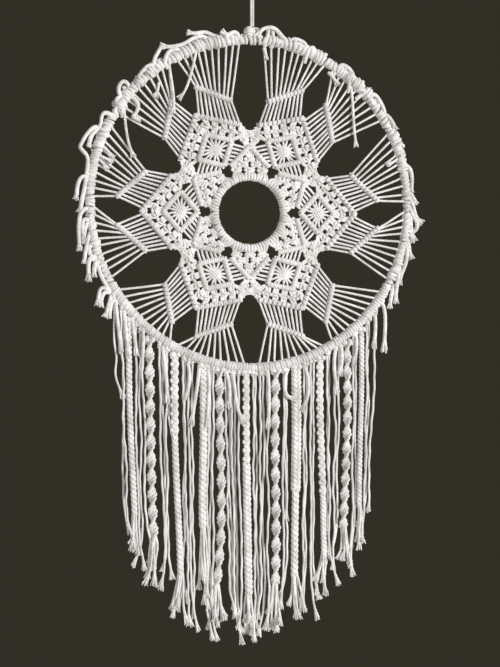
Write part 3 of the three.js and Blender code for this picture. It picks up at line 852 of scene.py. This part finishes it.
# drift is how far a sinnet's foot hangs to one side, bow how far its lower half does, lower the share of its
# width that its second part has, and tassel how long it is unknotted, where that isn't as usual
# a kind has the part of the length at which it ends, and mm to each crossing, bead or knot
sinnets = (
    {"x": -113.0, "width": 5.6, "drift": 4.0, "kinds": (("braid", 1.0, 13.5),)},
    {"x": -95.0, "width": 9.6, "drift": 4.5, "kinds": (("spiral", 1.0, 15.6),)},
    {"x": -71.5, "width": 8.4, "drift": 4.5, "kinds": (("square", 0.37, 7.3), ("braid", 1.0, 14.0))},
    {"x": -46.0, "width": 7.2, "drift": 1.0, "tassel": 95.0, "kinds": (("braid", 1.0, 15.0),)},
    {"x": -30.5, "width": 9.2, "drift": -2.5, "bow": 3.0, "kinds": (("spiral", 1.0, 17.0),)},
    {"x": -5.5, "width": 7.4, "drift": 2.5, "lower": 1.0,
        "kinds": (("square", 0.42, 7.8), ("braid", 1.0, 14.0))},
    {"x": 22.5, "width": 9.4, "drift": -1.0, "kinds": (("spiral", 1.0, 16.0),)},
    {"x": 41.5, "width": 9.4, "drift": -1.0, "kinds": (("herringbone", 0.6, 13.0), ("braid", 1.0, 15.0))},
    {"x": 64.5, "width": 7.6, "drift": 4.0, "kinds": (("square", 0.7, 7.6), ("braid", 1.0, 12.0))},
    {"x": 90.0, "width": 9.0, "drift": -2.5, "kinds": (("spiral", 1.0, 14.0),)},
    {"x": 104.0, "width": 5.0, "drift": -2.0, "kinds": (("braid", 1.0, 12.0),)},
)
# each strand: where it leaves the rim, and the side and height of its foot
strandGroups = (
    ((-120.8, -114.5, -499), (-118, -118.5, -492), (-127.4, -124, -371)),
    ((-107.6, -104.3, -524), (-103.4, -101, -519), (-101, -96.5, -510)),
    ((-86, -79, -539), (-82.7, -76, -532), (-79.4, -78.6, -526), (-78.2, -75.6, -402)),
    ((-64.4, -58.5, -574), (-62, -63.6, -553), (-59.2, -55, -580), (-55.5, -53, -566)),
    ((-41.4, -42, -587), (-38.2, -38.6, -578), (-36.4, -36.8, -590)),
    ((-25.3, -20.6, -569), (-21.7, -18, -562), (-19.2, -14.6, -591), (-16.2, -12.4, -584),
        (-13.2, -8.6, -580)),
    ((1, 3.6, -586), (3.6, 6.2, -578), (7.5, 8.6, -571), (11, 11.6, -586), (13.9, 14.8, -577)),
    ((29.6, 28.4, -560), (32.4, 33.6, -552), (31.2, 31.6, -482)),
    ((48.9, 47.2, -571), (52, 50.2, -562), (55.2, 56, -572), (58.6, 58.4, -556)),
    ((70.9, 73.6, -541), (73.2, 72, -532), (78.8, 76.4, -528), (83, 80, -520)),
    ((96.2, 93.6, -528), (98.9, 98.8, -510)),
    ((109, 105.8, -497), (111.6, 107.6, -489), (117.6, 110.2, -476)),
)
# cut ends that hang in front of the fringe: their group, and the way that each takes
stubs = (
    (0, ((-125.5, -292), (-124.5, -310), (-122, -330))),
    (0, ((-118, -300), (-117, -315), (-115.5, -330))),
    (1, ((-111, -306), (-109.5, -318), (-108, -332))),
    (1, ((-101, -318), (-100.6, -328), (-101.8, -341))),
    (2, ((-83, -332), (-80.4, -352), (-79.6, -374))),
    (3, ((-60, -346), (-57, -358), (-60.5, -372))),
    (3, ((-49.4, -349), (-50.6, -366), (-54.6, -382), (-56, -394))),
    (4, ((-41.4, -351), (-39.4, -368), (-42, -386), (-42.4, -396))),
    (5, ((-24.6, -354), (-20.6, -366), (-22, -380))),
    (5, ((-18.6, -355), (-15.6, -372), (-16.4, -386), (-11.8, -394))),
    (6, ((14.6, -355), (15.8, -376), (14.6, -396))),
    (7, ((34, -352), (29.4, -358), (29.6, -372), (31.6, -377), (35.2, -378))),
    (8, ((49, -350), (52.8, -358), (54, -370), (50.4, -381))),
    (9, ((79, -334), (75.8, -347), (77.2, -358), (78.6, -366))),
    (9, ((84, -330), (85.2, -340), (83.6, -350))),
    (10, ((97.6, -317), (99.8, -328), (97.4, -340))),
    (11, ((116.6, -300), (117.4, -312), (115.8, -326))),
    (11, ((122, -290), (126.4, -294), (126.8, -306), (125.4, -326))),
)


def fringeEdge(x):
    end = fringe["left"] if x < fringe["middle"] else fringe["right"]
    return fringe["lowest"] + fringe["rise"] * ((x - fringe["middle"]) / (end - fringe["middle"])) ** 2


def rimBelow(x, reach):
    return hoop["z"] - sqrt(reach ** 2 - x ** 2)


def hung(piece):
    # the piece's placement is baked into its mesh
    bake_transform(piece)


def plaited(cords, spine, length, width, pitch, share):
    # three strands that weave past each other, each as thick as its share of the width
    strands = 3
    pointsToPitch = 10
    sideShrink = 0.94  # how far a smooth line through so many points falls short, to the side and in depth
    depthShrink = 0.8
    thick = width * share
    wide = (width / 2 - thick) / sideShrink
    deep = 0.75 * thick / depthShrink
    count = max(4, round(length / pitch * pointsToPitch))
    for strand in range(strands):
        points = []
        for k in range(count + 1):
            t = k / count
            turn = 2 * pi * (length * t / pitch + strand / strands)
            points.append(spine(t) + Vector((wide * sin(turn), deep * sin(2 * turn), 0)))
        cords.append((points, thick))


def braided(cords, spine, length, width, pitch):
    plaited(cords, spine, length, width, pitch, 0.27)


def herringboned(cords, spine, length, width, pitch):
    plaited(cords, spine, length, width, pitch, 0.22)


def spiralled(cords, spine, length, width, pitch):
    # half knots that creep round their core: slanting turns make a flat band, half a twist to each bead
    thick = 1.25
    coreThick = 1.2
    coreSide = 1.4
    starts = 3
    slant = 13.0  # mm in which a turn goes once round
    wide = (width / 2 - thick) / coilShrink
    deep = 0.95 / coilShrink
    count = round(coilPoints * length / slant)
    wound = [[] for _ in range(starts)]
    core = [[], []]
    for step in range(count + 1):
        t = step / count
        creep = pi * length * t / pitch
        across = Vector((cos(creep), -sin(creep), 0))
        through = Vector((-across.y, across.x, 0))
        for k, points in enumerate(wound):
            turn = 2 * pi * (k / starts - length * t / slant)
            lump = 1 + 0.06 * sin(2.3 * step + 1.7 * k)  # no two turns are quite alike
            reach = across * (wide * cos(turn)) + through * (deep * sin(turn))
            points.append(spine(t) + reach * lump)
        for side, points in zip((coreSide, -coreSide), core):
            points.append(spine(t) + across * side)
    cords += [(points, thick) for points in wound] + [(points, coreThick) for points in core]


def squareKnotted(cords, spine, length, width, pitch):
    knotWide, knotLong, cord = 5.4, 2.5, 0.95  # in the knot's units
    size = width / knotWide
    count = max(1, round(length / pitch))
    across = Vector((1, 0, 0))
    along = downwards * (length / count / size / knotLong)
    for way in range(4):
        points = []
        for k in range(count):
            points += throughKnot(way, spine((k + 0.5) / count), across, along, size, flat=0.8)
        cords.append((points, size * cord))


sinnetKinds = {"braid": braided, "herringbone": herringboned, "spiral": spiralled, "square": squareKnotted}
tuft = {"cords": 6, "wide": 0.4, "deep": 1.8, "long": (0.38, 0.9), "pull": 3.0, "stray": 1.9}


def makeTassel(number, end, width, tasselLong):
    # the cords that a sinnet ends in
    cords = []
    pull = rng.uniform(-tuft["pull"], tuft["pull"])
    for k, side in enumerate(evenly(-1, 1, tuft["cords"])):
        lean = Vector((side * width * tuft["wide"], (-1) ** k * tuft["deep"], 0))
        long = tasselLong * rng.uniform(*tuft["long"])
        points = [end + Vector((lean.x * 0.4, lean.y * 0.5, 4))]
        for t in (0.3, 0.65, 1.0):
            place = end + lean * (0.6 + 0.5 * t) + Vector((pull * t, 0, 0)) + jitter(tuft["stray"])
            points.append(place + downwards * (long * t))
        cords.append((points, fringe["strand"]))
        frayed(cords, points, fringe["strand"])
    return twine(f"tassel_{number}", cords, bleachedCotton)


def makeSinnet(number, sinnet):
    x = sinnet["x"]
    width = sinnet["width"]
    top = rimBelow(abs(x) - width / 2, fringe["sinnetReach"]) + fringe["tucked"]
    tasselLong = sinnet.get("tassel", fringe["tassel"])
    foot = fringeEdge(x) + tasselLong + rng.uniform(-3, 6)
    sway = rng.uniform(-1.2, 1.2)
    waves = rng.uniform(1.2, 2.2)

    def spine(t):
        aside = sinnet["drift"] * t * t + sway * sin(pi * waves * t)
        aside += sinnet.get("bow", 0.0) * sin(pi * t * t)
        return Vector((x + aside, 0, mix(top, foot, t)))

    cords = []
    begin = 0.0
    wide = width
    for kind, end, pitch in sinnet["kinds"]:
        part = lambda t, a=begin, b=end: spine(mix(a, b, t))
        sinnetKinds[kind](cords, part, (top - foot) * (end - begin), wide, pitch)
        begin = end
        wide = width * sinnet.get("lower", 0.72)
    # small hitches where it leaves the rim
    for side in (-0.3, 0.3):
        start = Vector((x + side * width, -1.5, top - 1))
        short = straightSpine(start, start + downwards * 4)
        coil(cords, short, turns=2, wind=1.2, thick=1.3, uneven=0.1)
    piece = twine(f"sinnet_{number}_{sinnet['kinds'][0][0]}", cords, bleachedCotton)
    hung(piece)
    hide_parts(f"sinnet_{number}")
    tassel = makeTassel(number, spine(1), width, tasselLong)
    hung(tassel)
    [spine(k / 60) * mm for k in range(61)]


for number, sinnet in enumerate(sinnets, 1):
    makeSinnet(number, sinnet)
print("sinnets are hung")

strandDepths = (-1.6, 1.8, -0.4, 2.2, -2.0)  # mm, for the strands of a group in turn
curlFrom = 0.86  # the part of a strand below which it may bend aside


def makeStrands(group):
    rest = []
    for i, (x, footX, foot) in enumerate(strandGroups[group]):
        depth = strandDepths[i % len(strandDepths)]
        top = rimBelow(x, fringe["strandReach"])
        wave = rng.uniform(0.5, 1.3)
        turns = rng.uniform(1.5, 3.2)
        phase = rng.uniform(0, 6.28)
        ease = rng.uniform(1.0, 2.0)
        ripple = rng.uniform(0.25, 0.55)
        curl = rng.uniform(-4.5, 4.5)  # how far its last part bends aside
        length = rng.uniform(15, 26)  # mm from one small bend to the next
        steps = max(8, round((top - foot) / 4.5))
        points = []
        for k in range(steps + 1):
            t = k / steps
            swing = wave * min(1, 4 * t) * sin(phase + 2 * pi * turns * t)
            swing += ripple * sin(phase + 2 * pi * (top - foot) * t / length)
            aside = mix(x, footX, t ** ease) + swing + curl * max(0, (t - curlFrom) / (1 - curlFrom)) ** 2
            points.append(Vector((aside, depth * min(1, 0.4 + 3 * t) + 0.4 * swing, mix(top, foot, t))))
        frayed(rest, points, fringe["strand"])
        high = points[0] + towardsView * 1.2
        short = straightSpine(high, high + downwards * rng.uniform(3.5, 6.0))
        coil(rest, short, turns=2, wind=0.9, thick=1.15, uneven=0.12)
        radii = [fringe["strand"] * rng.uniform(0.9, 1.08) for _ in points]
        if i == 0:
            lead = (points, radii)
        else:
            rest.append((points, radii))
    for home, way in stubs:
        if home == group:
            cutEnd(rest, way, stub)
    piece = twine(f"strand_{group}_first", [lead], bleachedCotton)
    others = twine(f"strands_{group}_others", rest, bleachedCotton)
    for thing in (piece, others):
        hung(thing)
    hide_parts(f"strands_{group}")


for group in range(len(sinnets) + 1):
    makeStrands(group)
print("strands are hung")

bpy.context.scene.view_settings.view_transform = "Standard"
bpy.context.view_layer.update()
